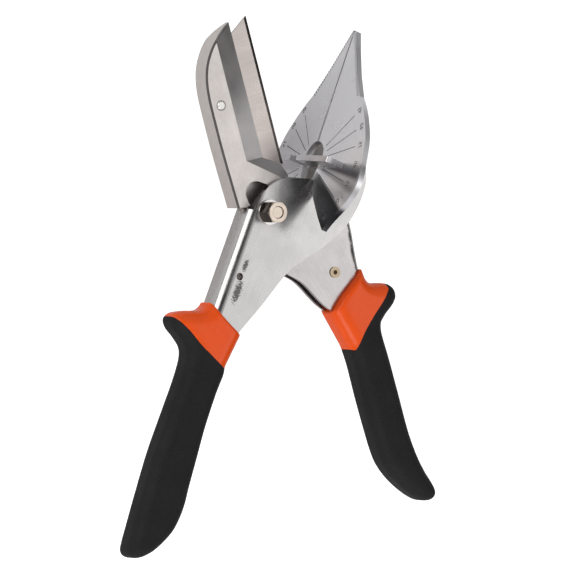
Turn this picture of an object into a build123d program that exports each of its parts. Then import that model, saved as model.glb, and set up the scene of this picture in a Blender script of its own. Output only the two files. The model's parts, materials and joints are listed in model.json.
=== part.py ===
"""Mitre shears: a blade lever that closes on a slotted protractor table.

The tool is drawn flat: X to the right, Y towards the jaws, Z along the pivot.
Every piece is drawn round the pivot axis and moved at the end, so that the
origin lies below the middle of the whole tool.
"""
from build123d import *
from math import cos, radians, sin, tan
import os

# Jaw sizes
blade_length = 62.0
blade_height = 19.6
blade_thickness = 1.0
blade_grind = 1.4
blade_edge_land = 0.08
blade_back_share = 0.61
blade_start = 15.5
blade_offset = 15.0
blade_slot_clearance = 0.2

# Angles in degrees
anvil_angle = 69.2
open_angle = 36.9
blade_angle = anvil_angle + open_angle
wing_tilt = 4.2
anvil_handle_angle = 248.0
blade_handle_angle = -56.0

# Protractor table and fence
anvil_offset = 14.3
plate_thickness = 2.4
plate_half_width = 38.0
plate_tip_margin = 5.4
tip_bridge = 2.5
fence_reach = 26.8
fence_height = 8.4
fence_thickness = 2.4
fence_drop = 2.2
fence_gap = 4.0
fence_end = 24.3
fence_round = 0.6
keyhole_half_width = 7.0
keyhole_centre = 2.0

# Engraved protractor lines and edge ticks
engraving_depth = 0.15
engraving_width = 0.35
ray_start = 10.0
ray_end = 29.0
ray_angles = (45, 60, 75, 105, 120, 135)
tick_spacing = 1.25
tick_length = 1.4
tick_inset = 0.5

# Anvil lever, a folded channel
anvil_sheet = 2.0
anvil_depth = 13.6
anvil_bend = 4.3
handle_reach = 150.0
cheek_depth = 22.5
neck_reach = 57.0
tang_share = 0.78
spine_offset = 8.9
spine_top = 1.95
tang_width = 10.4
lanyard_radius = 1.5
lanyard_along = 28.8
lanyard_left = -2.85

# Blade lever, a thinner folded channel that runs inside the anvil lever
lever_sheet = 1.8
lever_depth = 7.5
lever_bend = 3.3
eye_radius = 5.0
eye_turn_angle = 220.0
lever_neck = 48.0
lever_reach = 138.0
shoulder_left = 33.1

# Blade holder, whose tongue runs between the cheeks of the blade lever
holder_thickness = 8.5
holder_wall = 1.0
band_start = 2.9
band_end = 6.4
band_edge_height = 0.8
ledge_slope = 0.7
ledge_turn_angle = 38.9
cover_seam = 0.12
peg_radius = 1.2
peg_length = 3.4
peg_offset = 1.2
holder_rivet_radius = 1.65
holder_rivet_dome = 0.15
holder_rivet_along = 46.6
holder_rivet_behind = 7.8
tongue_thickness = 1.3
tongue_ring = 1.1
tongue_half_width = 3.6
tongue_length = 14.0
tongue_rivet_radius = 1.5

# Pivot
bolt_radius = 2.5
running_clearance = 0.05
bush_radius = 3.5
friction_washer_radius = 4.5
nut_across_flats = 8.0
nut_height = 6.6
washer_radius = 5.0
washer_height = 1.0
bolt_head_height = 3.5
bolt_end_recess = 0.5
nut_chamfer = 0.6

# Return spring, wound round the bush
spring_wire = 0.75
spring_radius = 4.4
spring_pitch = 1.15
spring_leg_slope = 25.0
spring_tail_angle = -10.5
spring_tail_length = 13.5
spring_tail_shares = (1, 0.75, 0.5, 0.25)
spring_leg_shares = (0.5, 1)

# Hollow rivet of the blade lever
hollow_rivet_radius = 1.5
hollow_rivet_bore = 0.9
hollow_rivet_head = 2.25
hollow_rivet_head_height = 0.5
hollow_rivet_along = 37.9
hollow_rivet_left = 12.7

# Handles
grip_thickness = 16.0
grip_width = 20.0
sheath_edge = 2.0
anvil_collar_start = 42.0
anvil_guard_end = 66.0
blade_collar_start = 43.0
blade_guard_end = 69.0

cut_overrun = 30.0
edge_break = 0.3

# Derived levels and reaches
cheek_outside = anvil_depth / 2
cheek_inside = cheek_outside - anvil_sheet
lever_outside = lever_depth / 2
lever_inside = lever_outside - lever_sheet
holder_half = holder_thickness / 2
blade_half = blade_thickness / 2
plate_reach = blade_start + blade_length - fence_reach + plate_tip_margin
slot_width = blade_thickness + 2 * blade_slot_clearance
jaw_reach = fence_reach + plate_reach


def spot(angle, along, left):
    """Point that lies along a ray from the pivot, and left of that ray."""
    turn = radians(angle)
    return (along * cos(turn) - left * sin(turn), along * sin(turn) + left * cos(turn))


def anvil_spot(along, behind):
    """Point beside the anvil line: behind counts away from the blade."""
    return spot(anvil_angle, along, -behind)


def blade_spot(along, ahead):
    """Point beside the blade line: ahead counts towards the cutting edge."""
    return spot(blade_angle, along, -ahead)


def scaled(shares, long_size, wide_size, start=0):
    """Table of shares as real (along, across) sizes, along counted from a start."""
    return [(start + a * (long_size - start), b * wide_size) for a, b in shares]


def ray_plane(angle, level=0.0):
    """Plane square to the pivot axis, with its X along a ray."""
    turn = radians(angle)
    return Plane(origin=(0, 0, level), x_dir=(cos(turn), sin(turn), 0), z_dir=(0, 0, 1))


def side_plane(place, across):
    """Plane that holds the pivot direction as its Y and a given direction as its X."""
    side = Vector(*across)
    return Plane(origin=place, x_dir=side, z_dir=side.cross(Vector(0, 0, 1)))


def ray_left(point, angle):
    """Distance of a point to the left of a ray from the pivot."""
    turn = radians(angle)
    return point.Y * cos(turn) - point.X * sin(turn)


def inset_path(points, distance):
    """Open path moved to its right by a distance, with mitred corners."""
    moved = []
    for index, point in enumerate(points):
        before = points[max(index - 1, 0)]
        after = points[min(index + 1, len(points) - 1)]
        run_in = (Vector(*point) - Vector(*before)).normalized() if index else None
        run_out = (Vector(*after) - Vector(*point)).normalized() if index < len(points) - 1 else None
        run_in = run_in or run_out
        run_out = run_out or run_in
        side = (Vector(run_in.Y, -run_in.X) + Vector(run_out.Y, -run_out.X)).normalized()
        stretch = distance / side.dot(Vector(run_in.Y, -run_in.X))
        moved.append((point[0] + side.X * stretch, point[1] + side.Y * stretch))
    return moved


# Plane of the front wing: X along the slot, Y out along the wing, Z to its back
tilt = radians(wing_tilt)
slot_direction = Vector(*spot(anvil_angle, 1, 0))
slot_back = Vector(*spot(anvil_angle, 0, -1))
table_centre = Vector(*anvil_spot(fence_reach, anvil_offset))
wing_plane = Plane(
    origin=table_centre,
    x_dir=slot_direction,
    z_dir=slot_back * cos(tilt) - Vector(0, 0, 1) * sin(tilt),
)

# Wing edge from the tip to the lower corner, as shares of reach and half width
wing_straight_shares = [(1.0, 0.04), (0.875, 0.143), (0.685, 0.318), (0.514, 0.508)]
wing_round_shares = [(0.425, 0.645), (0.303, 0.787), (0.191, 0.884), (0.031, 0.955),
                     (-0.144, 1.0), (-0.256, 0.937), (-0.344, 0.83), (-0.503, 0.626)]
wing_foot_shares = [(-0.405, 0.463), (-0.261, 0.25), (-0.144, 0.118)]
wing_straight = scaled(wing_straight_shares, plate_reach, plate_half_width)
wing_round = scaled(wing_round_shares, plate_reach, plate_half_width)
wing_foot = scaled(wing_foot_shares, plate_reach, plate_half_width)
wing_edge = wing_straight + wing_round

# The bare table: two wings that lean back from the slot line
with BuildPart() as table_blank:
    with BuildSketch(wing_plane):
        with BuildLine():
            Polyline((plate_reach, 0), *wing_straight)
            Spline(wing_straight[-1], *wing_round)
            Polyline(wing_round[-1], *wing_foot, (wing_foot[-1][0], 0), (plate_reach, 0))
        make_face()
    extrude(amount=plate_thickness)
    mirror(about=Plane.XY)

# The table with its slot, keyhole, engraved rays and edge ticks
tick_run = Vector(*wing_straight[-1]) - Vector(*wing_straight[0])
tick_count = int(tick_run.length / tick_spacing) - 1
with BuildPart() as anvil_plate:
    add(table_blank.part)
    with BuildSketch(wing_plane):
        for ray_angle in ray_angles:
            turn = radians(ray_angle)
            middle = (ray_start + ray_end) / 2
            with Locations(Location((middle * cos(turn), middle * sin(turn), 0), ray_angle)):
                Rectangle(ray_end - ray_start, engraving_width)
        with Locations((0, (fence_end + ray_end) / 2)):
            Rectangle(engraving_width, ray_end - fence_end)
        for index in range(1, tick_count):
            place = Vector(*wing_straight[0]) + tick_run * (index / tick_count)
            depth = tick_inset + tick_length / 2
            inward = Vector(tick_run.Y, -tick_run.X).normalized()
            if inward.Y > 0:
                inward = inward * -1
            spread = (0.5 - abs(index / tick_count - 0.5)) * tick_length
            centre = place + inward * (depth + spread)
            with Locations(Location((centre.X, centre.Y, 0), inward.get_angle(Vector(1, 0)) * -1)):
                Rectangle(tick_length, engraving_width)
    engraved = extrude(amount=engraving_depth, mode=Mode.PRIVATE)
    add(engraved, mode=Mode.SUBTRACT)
    add(mirror(engraved, about=Plane.XY, mode=Mode.PRIVATE), mode=Mode.SUBTRACT)
    table_plane = Plane(origin=table_centre, x_dir=slot_direction, z_dir=slot_back)
    with BuildSketch(table_plane):
        slot_end = plate_reach - tip_bridge
        with Locations(((slot_end + keyhole_centre) / 2, 0)):
            Rectangle(slot_end - keyhole_centre, slot_width)
        with Locations((keyhole_centre, 0)):
            Circle(keyhole_half_width)
        with BuildLine():
            foot_along, foot_half = wing_foot[-1]
            Polyline(
                (keyhole_centre, keyhole_half_width),
                (foot_along - edge_break, foot_half),
                (foot_along - edge_break, -foot_half),
                (keyhole_centre, -keyhole_half_width),
                close=True,
            )
        make_face()
    extrude(amount=cut_overrun, both=True, mode=Mode.SUBTRACT)

# Fence bars, one on each wing, with the blade's gap between them
with BuildPart() as fence_front:
    with BuildSketch(wing_plane):
        fence_middle = (fence_gap / 2 + fence_end) / 2
        with Locations((fence_thickness / 2 - fence_drop, fence_middle)):
            Rectangle(fence_thickness, fence_end - fence_gap / 2)
    extrude(amount=-fence_height)
    fence_corner = fence_front.edges().filter_by(lambda e: abs(e.length - fence_thickness) < edge_break)
    fillet(fence_corner.sort_by(Axis.Z)[-2:], fence_round)

with BuildPart() as fence_rear:
    mirror(fence_front.part, about=Plane.XY)

# Anvil lever: two cheeks and the spine that joins them down the handle
seat_line = anvil_offset + plate_thickness / 2
cheek_top_shares = [(-0.018, -0.431), (0.121, -0.216), (0.198, 0.245), (0.229, 0.826)]
cheek_back_shares = [(0.724, 0.076), (0.603, 0.378), (0.458, 0.733), (0.325, 0.965), (0.225, 0.981),
                     (0.1, 0.885), (0.004, 0.706), (-0.119, 0.36)]
cheek_inner_shares = [(0.237, 1.025), (0.339, 0.845), (0.466, 0.702), (0.597, 0.573), (0.845, 0.288),
                      (1.0, 0.12)]
cheek_top = scaled(cheek_top_shares, jaw_reach, seat_line)
cheek_back = [(a, seat_line + b) for a, b in scaled(cheek_back_shares, jaw_reach, cheek_depth)]
cheek_inner = scaled(cheek_inner_shares, neck_reach, grip_width)
tang_end = handle_reach * tang_share
tang_inside = tang_width - spine_offset

with BuildPart() as anvil_lever:
    with BuildSketch(Plane.XY.offset(-cheek_outside)):
        with BuildLine():
            spine_corner = spot(anvil_handle_angle, spine_top, -spine_offset)
            arc_points = [anvil_spot(*point) for point in cheek_top]
            seat_low = anvil_spot(cheek_top[-1][0], seat_line)
            seat_high = anvil_spot(cheek_back[0][0], seat_line)
            back_points = [anvil_spot(*point) for point in cheek_back]
            inner_points = [spot(anvil_handle_angle, *point) for point in cheek_inner]
            Line(spine_corner, arc_points[0])
            ThreePointArc(arc_points[0], arc_points[1], arc_points[2])
            Polyline(arc_points[2], arc_points[3], seat_low, seat_high, back_points[0])
            Spline(*back_points)
            Spline(back_points[-1], *inner_points)
            Polyline(
                inner_points[-1],
                spot(anvil_handle_angle, tang_end * 0.5, tang_inside),
                spot(anvil_handle_angle, tang_end, tang_inside),
                spot(anvil_handle_angle, tang_end, -spine_offset),
                spine_corner,
            )
        make_face()
    extrude(amount=anvil_depth)
    # Rounded folds along both sides of the spine
    folds = anvil_lever.edges().filter_by(
        lambda e: e.length > handle_reach / 2 and (e % 0.5).Z == 0
    )
    folds = folds.filter_by(lambda e: abs(ray_left(e @ 0.5, anvil_handle_angle) + spine_offset) < edge_break)
    fillet(folds, anvil_bend)
    # Hollow between the cheeks, rounded inside its folds
    with BuildSketch(ray_plane(anvil_handle_angle, -cheek_inside)):
        with Locations((0, anvil_sheet - spine_offset)):
            Rectangle(2 * handle_reach, 2 * handle_reach, align=(Align.CENTER, Align.MIN))
    hollow = extrude(amount=2 * cheek_inside, mode=Mode.PRIVATE)
    inner_folds = hollow.edges().filter_by(
        lambda e: (e % 0.5).Z == 0
        and abs(ray_left(e @ 0.5, anvil_handle_angle) + spine_offset - anvil_sheet) < edge_break
    )
    add(hollow.fillet(anvil_bend - anvil_sheet, inner_folds), mode=Mode.SUBTRACT)
    with BuildSketch(Plane.XY.offset(-cheek_outside)):
        Circle(bolt_radius + running_clearance)
        with Locations(spot(anvil_handle_angle, lanyard_along, lanyard_left)):
            Circle(lanyard_radius)
    extrude(amount=anvil_depth, mode=Mode.SUBTRACT)
    add(table_blank.part, mode=Mode.SUBTRACT)

# Blade lever: eye round the pivot, folded back and open front
lever_head_back_shares = [(-0.003, 0.293), (0.063, 0.52), (0.207, 0.816), (0.4, 0.94), (0.567, 0.906),
                          (0.708, 0.822), (0.896, 0.713)]
lever_tail_back_shares = [(0.079, 0.598), (0.233, 0.441), (0.4, 0.296), (0.556, 0.169), (0.667, 0.091)]
lever_tail_front_shares = [(0.667, -0.19), (0.556, -0.118), (0.4, -0.009), (0.244, 0.115),
                           (0.133, 0.157), (0.072, 0.139)]
lever_head_front_shares = [(1.0, 0.06), (0.854, 0.0), (0.667, -0.069), (0.573, -0.145),
                           (0.467, -0.218), (0.3, -0.23), (0.096, -0.187)]
lever_back = scaled(lever_head_back_shares, lever_neck, shoulder_left)
lever_back += scaled(lever_tail_back_shares, lever_reach, shoulder_left, lever_neck)
lever_front = scaled(lever_tail_front_shares, lever_reach, shoulder_left, lever_neck)
lever_front += scaled(lever_head_front_shares, lever_neck, shoulder_left)

with BuildPart() as blade_lever:
    with BuildSketch(ray_plane(blade_handle_angle, -lever_outside)):
        with BuildLine():
            back_line = Spline(*lever_back)
            Line(lever_back[-1], lever_front[0])
            Spline(*lever_front)
            ThreePointArc(lever_front[-1], spot(eye_turn_angle, eye_radius, 0), (0, eye_radius))
            Line((0, eye_radius), lever_back[0])
        make_face()
    extrude(amount=lever_depth)
    folds = blade_lever.edges().filter_by(lambda e: e.length > lever_back[-1][0] - lever_back[0][0])
    folds = folds.filter_by(lambda e: ray_left(e @ 0.5, blade_handle_angle) > eye_radius)
    fillet(folds, lever_bend)
    with BuildSketch(ray_plane(blade_handle_angle, -lever_inside)):
        with BuildLine():
            inner_back = inset_path(lever_back, lever_sheet)
            Spline(*inner_back)
            Polyline(
                inner_back[-1],
                (lever_reach, inner_back[-1][1]),
                (lever_reach, -2 * shoulder_left),
                (-lever_reach / 2, -2 * shoulder_left),
                (-lever_reach / 2, inner_back[0][1]),
                inner_back[0],
            )
        make_face()
    extrude(amount=2 * lever_inside, mode=Mode.SUBTRACT)
    tongue_rivet_spot = blade_spot(-tongue_length, 0)
    with BuildSketch(Plane.XY.offset(-lever_outside)):
        Circle(bush_radius)
        with Locations(tongue_rivet_spot):
            Circle(tongue_rivet_radius)
        with Locations(spot(blade_handle_angle, hollow_rivet_along, hollow_rivet_left)):
            Circle(hollow_rivet_radius)
    extrude(amount=lever_depth, mode=Mode.SUBTRACT)

# Blade with a ground edge, and two holes for its locating pegs
blade_slope = (1 - blade_back_share) * blade_length / 2
blade_end = blade_start + blade_length
blade_middle = blade_start + blade_length / 2
blade_back = blade_offset - blade_height
peg_spots = [blade_spot(blade_middle + side * blade_length / 6, -peg_offset) for side in (-1, 1)]


def blade_outline(margin):
    """Outline of the blade, grown by a margin at its ends and its back."""
    return [
        blade_spot(blade_start - margin, blade_offset),
        blade_spot(blade_end + margin, blade_offset),
        blade_spot(blade_end - blade_slope + margin, blade_back - margin),
        blade_spot(blade_start + blade_slope - margin, blade_back - margin),
    ]


with BuildPart() as blade:
    with BuildSketch(Plane.XY.offset(-blade_half)):
        Polygon(*blade_outline(0), align=None)
        with Locations(*peg_spots):
            Circle(peg_radius + running_clearance, mode=Mode.SUBTRACT)
    extrude(amount=blade_thickness)
    with BuildSketch(side_plane(blade_spot(0, 0), blade_spot(0, 1))) as grind:
        with BuildLine():
            edge_half = blade_edge_land / 2
            Polyline(
                (blade_offset - blade_grind, blade_half),
                (blade_offset, edge_half),
                (blade_offset + blade_grind, edge_half),
                (blade_offset + blade_grind, blade_thickness),
                (blade_offset - blade_grind, blade_thickness),
                close=True,
            )
        make_face()
        mirror(about=Plane.XZ)
    extrude(amount=2 * blade_end, both=True, mode=Mode.SUBTRACT)

# Locating pegs of the blade, one shape placed twice
with BuildPart() as blade_pegs:
    with BuildSketch(Plane.XY.offset(-peg_length / 2)):
        with Locations(*peg_spots):
            Circle(peg_radius)
    extrude(amount=peg_length)

# Blade holder outline: back, throat beside the pivot, ledge below the blade
holder_back_shares = [(1.24, 0.265), (1.224, 0.138), (1.182, -0.102), (1.134, -0.276), (1.074, -0.423),
                      (1.015, -0.526), (0.948, -0.597), (0.865, -0.643), (0.711, -0.661),
                      (0.524, -0.661), (0.306, -0.643), (0.082, -0.617)]
holder_throat_shares = [(0.068, -0.403), (0.076, -0.316), (0.121, -0.352), (0.179, -0.327),
                        (0.208, -0.225), (0.215, -0.086), (0.192, 0.072), (0.165, 0.205)]
holder_ledge_shares = [(0.139, 0.347), (0.111, 0.459), (0.134, 0.633), (0.181, 0.744), (0.256, 0.71),
                       (0.335, 0.327)]
holder_back = scaled(holder_back_shares, blade_length, blade_height)
holder_throat = scaled(holder_throat_shares, blade_length, blade_height)
holder_ledge = scaled(holder_ledge_shares, blade_length, blade_height)
band_slope = (holder_half - band_edge_height) / (band_start + band_end)


def inset_back(inset):
    """Back contour of the holder, moved in by an inset."""
    return [(a, -b) for a, b in inset_path([(a, -b) for a, b in holder_back], -inset)]


def holder_outline(inset):
    """Sketch outline of the holder, its back moved in by an inset."""
    back_path = inset_back(inset) if inset else holder_back
    points = [blade_spot(*point) for point in back_path]
    tip = blade_spot(back_path[0][0] + edge_break, band_end)
    throat = [blade_spot(*point) for point in holder_throat]
    ledge = [blade_spot(*point) for point in holder_ledge]
    Line(tip, points[0])
    Spline(*points)
    Line(points[-1], throat[0])
    Line(throat[0], throat[1])
    Spline(*throat[1:])
    Polyline(throat[-1], *ledge, tip)


# Slopes of the band beside the blade and of the ledge below it
along_blade = Vector(*blade_spot(1, 0))
across_blade = Vector(*blade_spot(0, 1))
ledge_across = along_blade.rotate(Axis.Z, -ledge_turn_angle)
slope_start = blade_spot(holder_ledge[-1][0] + ledge_slope * 2 * holder_wall, -band_start)
with BuildPart() as holder_relief:
    for across, slope in ((across_blade, band_slope), (ledge_across, ledge_slope)):
        with BuildSketch(side_plane(slope_start, across)):
            with BuildLine():
                Polyline(
                    (0, holder_half),
                    (2 * blade_length, holder_half - slope * 2 * blade_length),
                    (2 * blade_length, cut_overrun),
                    (0, cut_overrun),
                    close=True,
                )
            make_face()
        reach = extrude(amount=2 * blade_length, both=True, mode=Mode.PRIVATE)
        add(reach, mode=Mode.INTERSECT if across is ledge_across else Mode.ADD)

with BuildPart() as holder_body:
    with BuildSketch(Plane.XY.offset(-holder_half)):
        with BuildLine():
            holder_outline(0)
        make_face()
    extrude(amount=holder_thickness)
    # Seat of the cover, open towards the edge, and seat of the blade
    with BuildSketch(Plane.XY.offset(blade_half)):
        with BuildLine():
            wall_line = inset_back(holder_wall)
            low, high = wall_line[-1], wall_line[0]
            Spline(*[blade_spot(*point) for point in wall_line])
            Polyline(
                blade_spot(*low),
                blade_spot(-low[0], low[1]),
                blade_spot(-low[0], blade_height),
                blade_spot(high[0], blade_height),
                blade_spot(*high),
            )
        make_face()
    extrude(amount=holder_thickness, mode=Mode.SUBTRACT)
    with BuildSketch(Plane.XY.offset(-blade_half)):
        Polygon(*blade_outline(cover_seam), align=None)
    extrude(amount=holder_thickness, mode=Mode.SUBTRACT)
    # Tongue that runs to the pivot between the cheeks of the lever
    with BuildSketch(Plane.XY.offset(-lever_inside)):
        Circle(bush_radius + tongue_ring)
        with BuildLine():
            Polyline(
                blade_spot(holder_ledge[3][0], holder_throat[-1][1]),
                blade_spot(holder_ledge[3][0], holder_ledge[1][1]),
                blade_spot(holder_ledge[0][0], holder_ledge[1][1]),
                blade_spot(-tongue_length, tongue_half_width),
                blade_spot(-tongue_length, -tongue_half_width),
                blade_spot(0, -bush_radius),
                close=True,
            )
        make_face()
        with Locations(tongue_rivet_spot):
            Circle(tongue_half_width)
        # Web that closes the throat behind the spring
        with BuildLine():
            web_line = inset_path(holder_throat[1:], holder_wall)
            Polyline(*[blade_spot(*point) for point in web_line], (0, 0), close=True)
        make_face()
    extrude(amount=tongue_thickness)
    with BuildSketch(Plane.XY.offset(-holder_half)):
        Circle(bush_radius)
        with Locations(tongue_rivet_spot):
            Circle(tongue_rivet_radius)
        with Locations(blade_spot(holder_rivet_along, -holder_rivet_behind)):
            Circle(holder_rivet_radius)
    extrude(amount=holder_thickness, mode=Mode.SUBTRACT)
    add(blade_pegs.part, mode=Mode.SUBTRACT)
    add(mirror(holder_relief.part, about=Plane.XY, mode=Mode.PRIVATE), mode=Mode.SUBTRACT)
    add(holder_relief.part, mode=Mode.SUBTRACT)

with BuildPart() as holder_cover:
    with BuildSketch(Plane.XY.offset(blade_half)):
        with BuildLine():
            holder_outline(holder_wall + cover_seam)
        make_face()
        with Locations(blade_spot(holder_rivet_along, -holder_rivet_behind)):
            Circle(holder_rivet_radius, mode=Mode.SUBTRACT)
    extrude(amount=holder_half - blade_half)
    add(blade_pegs.part, mode=Mode.SUBTRACT)
    add(holder_relief.part, mode=Mode.SUBTRACT)

# Rivets: through the holder, through the tongue, and the hollow one of the lever
with BuildPart() as holder_rivet:
    with Locations((*blade_spot(holder_rivet_along, -holder_rivet_behind), 0)):
        Cylinder(holder_rivet_radius, holder_thickness + 2 * holder_rivet_dome)
    chamfer(holder_rivet.edges().filter_by(GeomType.CIRCLE), holder_rivet_dome)

with BuildPart() as tongue_rivet:
    with Locations((*tongue_rivet_spot, 0)):
        Cylinder(tongue_rivet_radius, lever_depth)

with BuildPart() as lever_rivet:
    with Locations((*spot(blade_handle_angle, hollow_rivet_along, hollow_rivet_left), 0)):
        Cylinder(hollow_rivet_radius, lever_depth)
        for side in (-1, 1):
            with Locations((0, 0, side * (lever_outside + hollow_rivet_head_height / 2))):
                Cylinder(hollow_rivet_head, hollow_rivet_head_height)
        Cylinder(hollow_rivet_bore, holder_thickness, mode=Mode.SUBTRACT)

# Pivot stack
with BuildPart() as pivot_bush:
    Cylinder(bush_radius, lever_depth)
    Cylinder(bolt_radius + running_clearance, lever_depth, mode=Mode.SUBTRACT)

washer_start = lever_outside + 2 * running_clearance
with BuildPart() as friction_washer_front:
    with BuildSketch(Plane.XY.offset(washer_start)):
        Circle(friction_washer_radius)
        Circle(bolt_radius + running_clearance, mode=Mode.SUBTRACT)
    extrude(amount=cheek_inside - washer_start)

with BuildPart() as friction_washer_rear:
    mirror(friction_washer_front.part, about=Plane.XY)

nut_base = cheek_outside + washer_height
bolt_top = nut_base + nut_height - bolt_end_recess
with BuildPart() as pivot_bolt:
    with BuildSketch(Plane.XY.offset(-cheek_outside)):
        RegularPolygon(nut_across_flats / 2, 6, major_radius=False)
    extrude(amount=-bolt_head_height)
    with BuildSketch(Plane.XY.offset(-cheek_outside)):
        Circle(bolt_radius)
    extrude(amount=bolt_top + cheek_outside)
    chamfer(pivot_bolt.faces().sort_by(Axis.Z)[-1].edges(), edge_break)

with BuildPart() as pivot_washer:
    with BuildSketch(Plane.XY.offset(cheek_outside)):
        Circle(washer_radius)
        Circle(bolt_radius, mode=Mode.SUBTRACT)
    extrude(amount=washer_height)

# The nut is a hexagon whose outer corners are turned to a cone
with BuildPart() as nut_blank:
    with BuildSketch(Plane.XY.offset(nut_base)):
        Circle(nut_across_flats / 2 / cos(radians(30)))
    extrude(amount=nut_height)
    chamfer(nut_blank.edges().sort_by(Axis.Z)[-1], nut_chamfer / 2, nut_chamfer)

with BuildPart() as pivot_nut:
    with BuildSketch(Plane.XY.offset(nut_base)):
        RegularPolygon(nut_across_flats / 2, 6, major_radius=False)
        Circle(bolt_radius, mode=Mode.SUBTRACT)
    extrude(amount=nut_height)
    add(nut_blank.part, mode=Mode.INTERSECT)

# Return spring between the cheeks of the blade lever, above the tongue. One leg
# bears on the spine of the anvil lever, the other on the rivet of the tongue.
spring_leg_angle = anvil_handle_angle - 90 - spring_leg_slope
spring_turns = 1 + (spring_leg_angle - spring_tail_angle) / 360
spring_base = tongue_thickness - lever_inside + spring_wire / 2 + running_clearance
leg_goal = spine_offset - anvil_sheet - spring_wire / 2 - running_clearance
leg_drop = leg_goal - spring_radius * cos(radians(spring_leg_slope))
leg_length = leg_drop / sin(radians(spring_leg_slope))
spring_sweep = 360 * spring_turns
spring_steps = 24
spring_points = []
for share in spring_tail_shares:
    tail_point = spot(spring_tail_angle, spring_radius, -share * spring_tail_length)
    spring_points.append((*tail_point, spring_base))
for step in range(spring_steps + 1):
    share = step / spring_steps
    coil_point = spot(spring_tail_angle + share * spring_sweep, spring_radius, 0)
    spring_points.append((*coil_point, spring_base + spring_pitch * spring_turns * share))
for share in spring_leg_shares:
    leg_point = spot(spring_leg_angle, spring_radius, share * leg_length)
    spring_points.append((*leg_point, spring_base + spring_pitch * spring_turns))
with BuildPart() as return_spring:
    with BuildLine() as spring_line:
        Spline(*spring_points)
    with BuildSketch(Plane(origin=spring_line.line @ 0, z_dir=spring_line.line % 0)):
        Circle(spring_wire / 2)
    sweep(path=spring_line.line)

# Sheath of each handle: one moulding, parted into a collar and a grip
anvil_top_shares = [(0.329, 0.395), (0.312, 0.24), (0.225, -0.045), (0.108, -0.35), (0.017, -0.51)]
anvil_nose_shares = [(0.017, -0.51), (0.129, -0.545), (0.225, -0.65), (0.304, -0.88), (0.4, -1.095),
                     (0.471, -1.175), (0.546, -1.2), (0.621, -1.16), (0.704, -1.05), (0.792, -0.84),
                     (0.958, -0.605)]
anvil_hand_shares = [(0.104, -0.54), (0.3, -0.54), (0.487, -0.54), (0.687, -0.49), (0.857, -0.435),
                     (0.94, -0.405), (0.979, -0.365), (0.996, -0.25), (0.983, -0.065), (0.937, 0.145),
                     (0.868, 0.32), (0.79, 0.445), (0.685, 0.485), (0.573, 0.44), (0.431, 0.39),
                     (0.288, 0.34), (0.124, 0.32), (0.018, 0.335), (-0.018, 0.305)]
anvil_parting_shares = [(0.483, -1.275), (0.525, -1.14), (0.583, -0.955), (0.637, -0.785),
                        (0.717, -0.595), (0.792, -0.41), (0.846, -0.23), (0.929, 0.04), (0.962, 0.2),
                        (0.967, 0.425)]
blade_top_shares = [(0.292, 0.054), (0.246, 0.163), (0.169, 0.326), (0.088, 0.559), (0.023, 0.719)]
blade_nose_shares = [(0.023, 0.719), (0.135, 0.698), (0.254, 0.701), (0.346, 0.764), (0.415, 0.855),
                     (0.5, 0.924), (0.6, 0.952), (0.681, 0.94), (0.75, 0.9), (0.812, 0.81),
                     (0.869, 0.653), (0.985, 0.535)]
blade_hand_shares = [(0.177, 0.42), (0.394, 0.281), (0.58, 0.16), (0.726, 0.094), (0.843, 0.069),
                     (0.942, 0.073), (0.999, 0.045), (1.017, -0.042), (0.987, -0.154), (0.913, -0.248),
                     (0.791, -0.332), (0.671, -0.36), (0.57, -0.326), (0.428, -0.245), (0.262, -0.142),
                     (0.078, -0.018), (-0.035, 0.039)]
blade_parting_shares = [(0.269, 0.846), (0.385, 0.873), (0.438, 0.87), (0.485, 0.864), (0.519, 0.846),
                        (0.546, 0.792), (0.612, 0.68), (0.681, 0.526), (0.754, 0.378), (0.846, 0.227),
                        (0.954, 0.103), (0.981, 0.063), (0.938, 0.03), (0.865, -0.018)]
anvil_top = scaled(anvil_top_shares, anvil_guard_end, grip_width, anvil_collar_start)
anvil_nose = scaled(anvil_nose_shares, anvil_guard_end, grip_width, anvil_collar_start)
anvil_hand = scaled(anvil_hand_shares, handle_reach, grip_width, anvil_guard_end)
anvil_parting = scaled(anvil_parting_shares, anvil_guard_end, grip_width, anvil_collar_start)
blade_top = scaled(blade_top_shares, blade_guard_end, shoulder_left, blade_collar_start)
blade_nose = scaled(blade_nose_shares, blade_guard_end, shoulder_left, blade_collar_start)
blade_hand = scaled(blade_hand_shares, lever_reach, shoulder_left, blade_guard_end)
blade_parting = scaled(blade_parting_shares, blade_guard_end, shoulder_left, blade_collar_start)


def make_sheath(angle, curves):
    """Moulding with broken edges round a handle, drawn in the frame of its lever."""
    with BuildPart() as sheath:
        with BuildSketch(ray_plane(angle, -grip_thickness / 2)):
            with BuildLine():
                for points in curves:
                    Spline(*points)
                Line(curves[-1][-1], curves[0][0])
            make_face()
        extrude(amount=grip_thickness)
        ends = sheath.faces().sort_by(Axis.Z)
        chamfer(ends[0].edges() + ends[-1].edges(), sheath_edge)
    return sheath.part


def make_collar_space(angle, line):
    """Block on the pivot side of the parting line between collar and grip."""
    spread = line[-1][1] - line[0][1]
    with BuildPart() as space:
        with BuildSketch(ray_plane(angle, -grip_thickness)):
            with BuildLine():
                Spline(*line)
                Polyline(
                    line[-1],
                    (line[-1][0], line[-1][1] + spread),
                    (0, line[-1][1] + spread),
                    (0, line[0][1] - spread),
                    (line[0][0], line[0][1] - spread),
                    line[0],
                )
            make_face()
        extrude(amount=2 * grip_thickness)
    return space.part


anvil_sheath = make_sheath(anvil_handle_angle, (anvil_top, anvil_nose, anvil_nose[-1:] + anvil_hand))
anvil_collar_space = make_collar_space(anvil_handle_angle, anvil_parting)
blade_sheath = make_sheath(blade_handle_angle, (blade_top, blade_nose, blade_nose[-1:] + blade_hand))
blade_collar_space = make_collar_space(blade_handle_angle, blade_parting)

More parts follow.
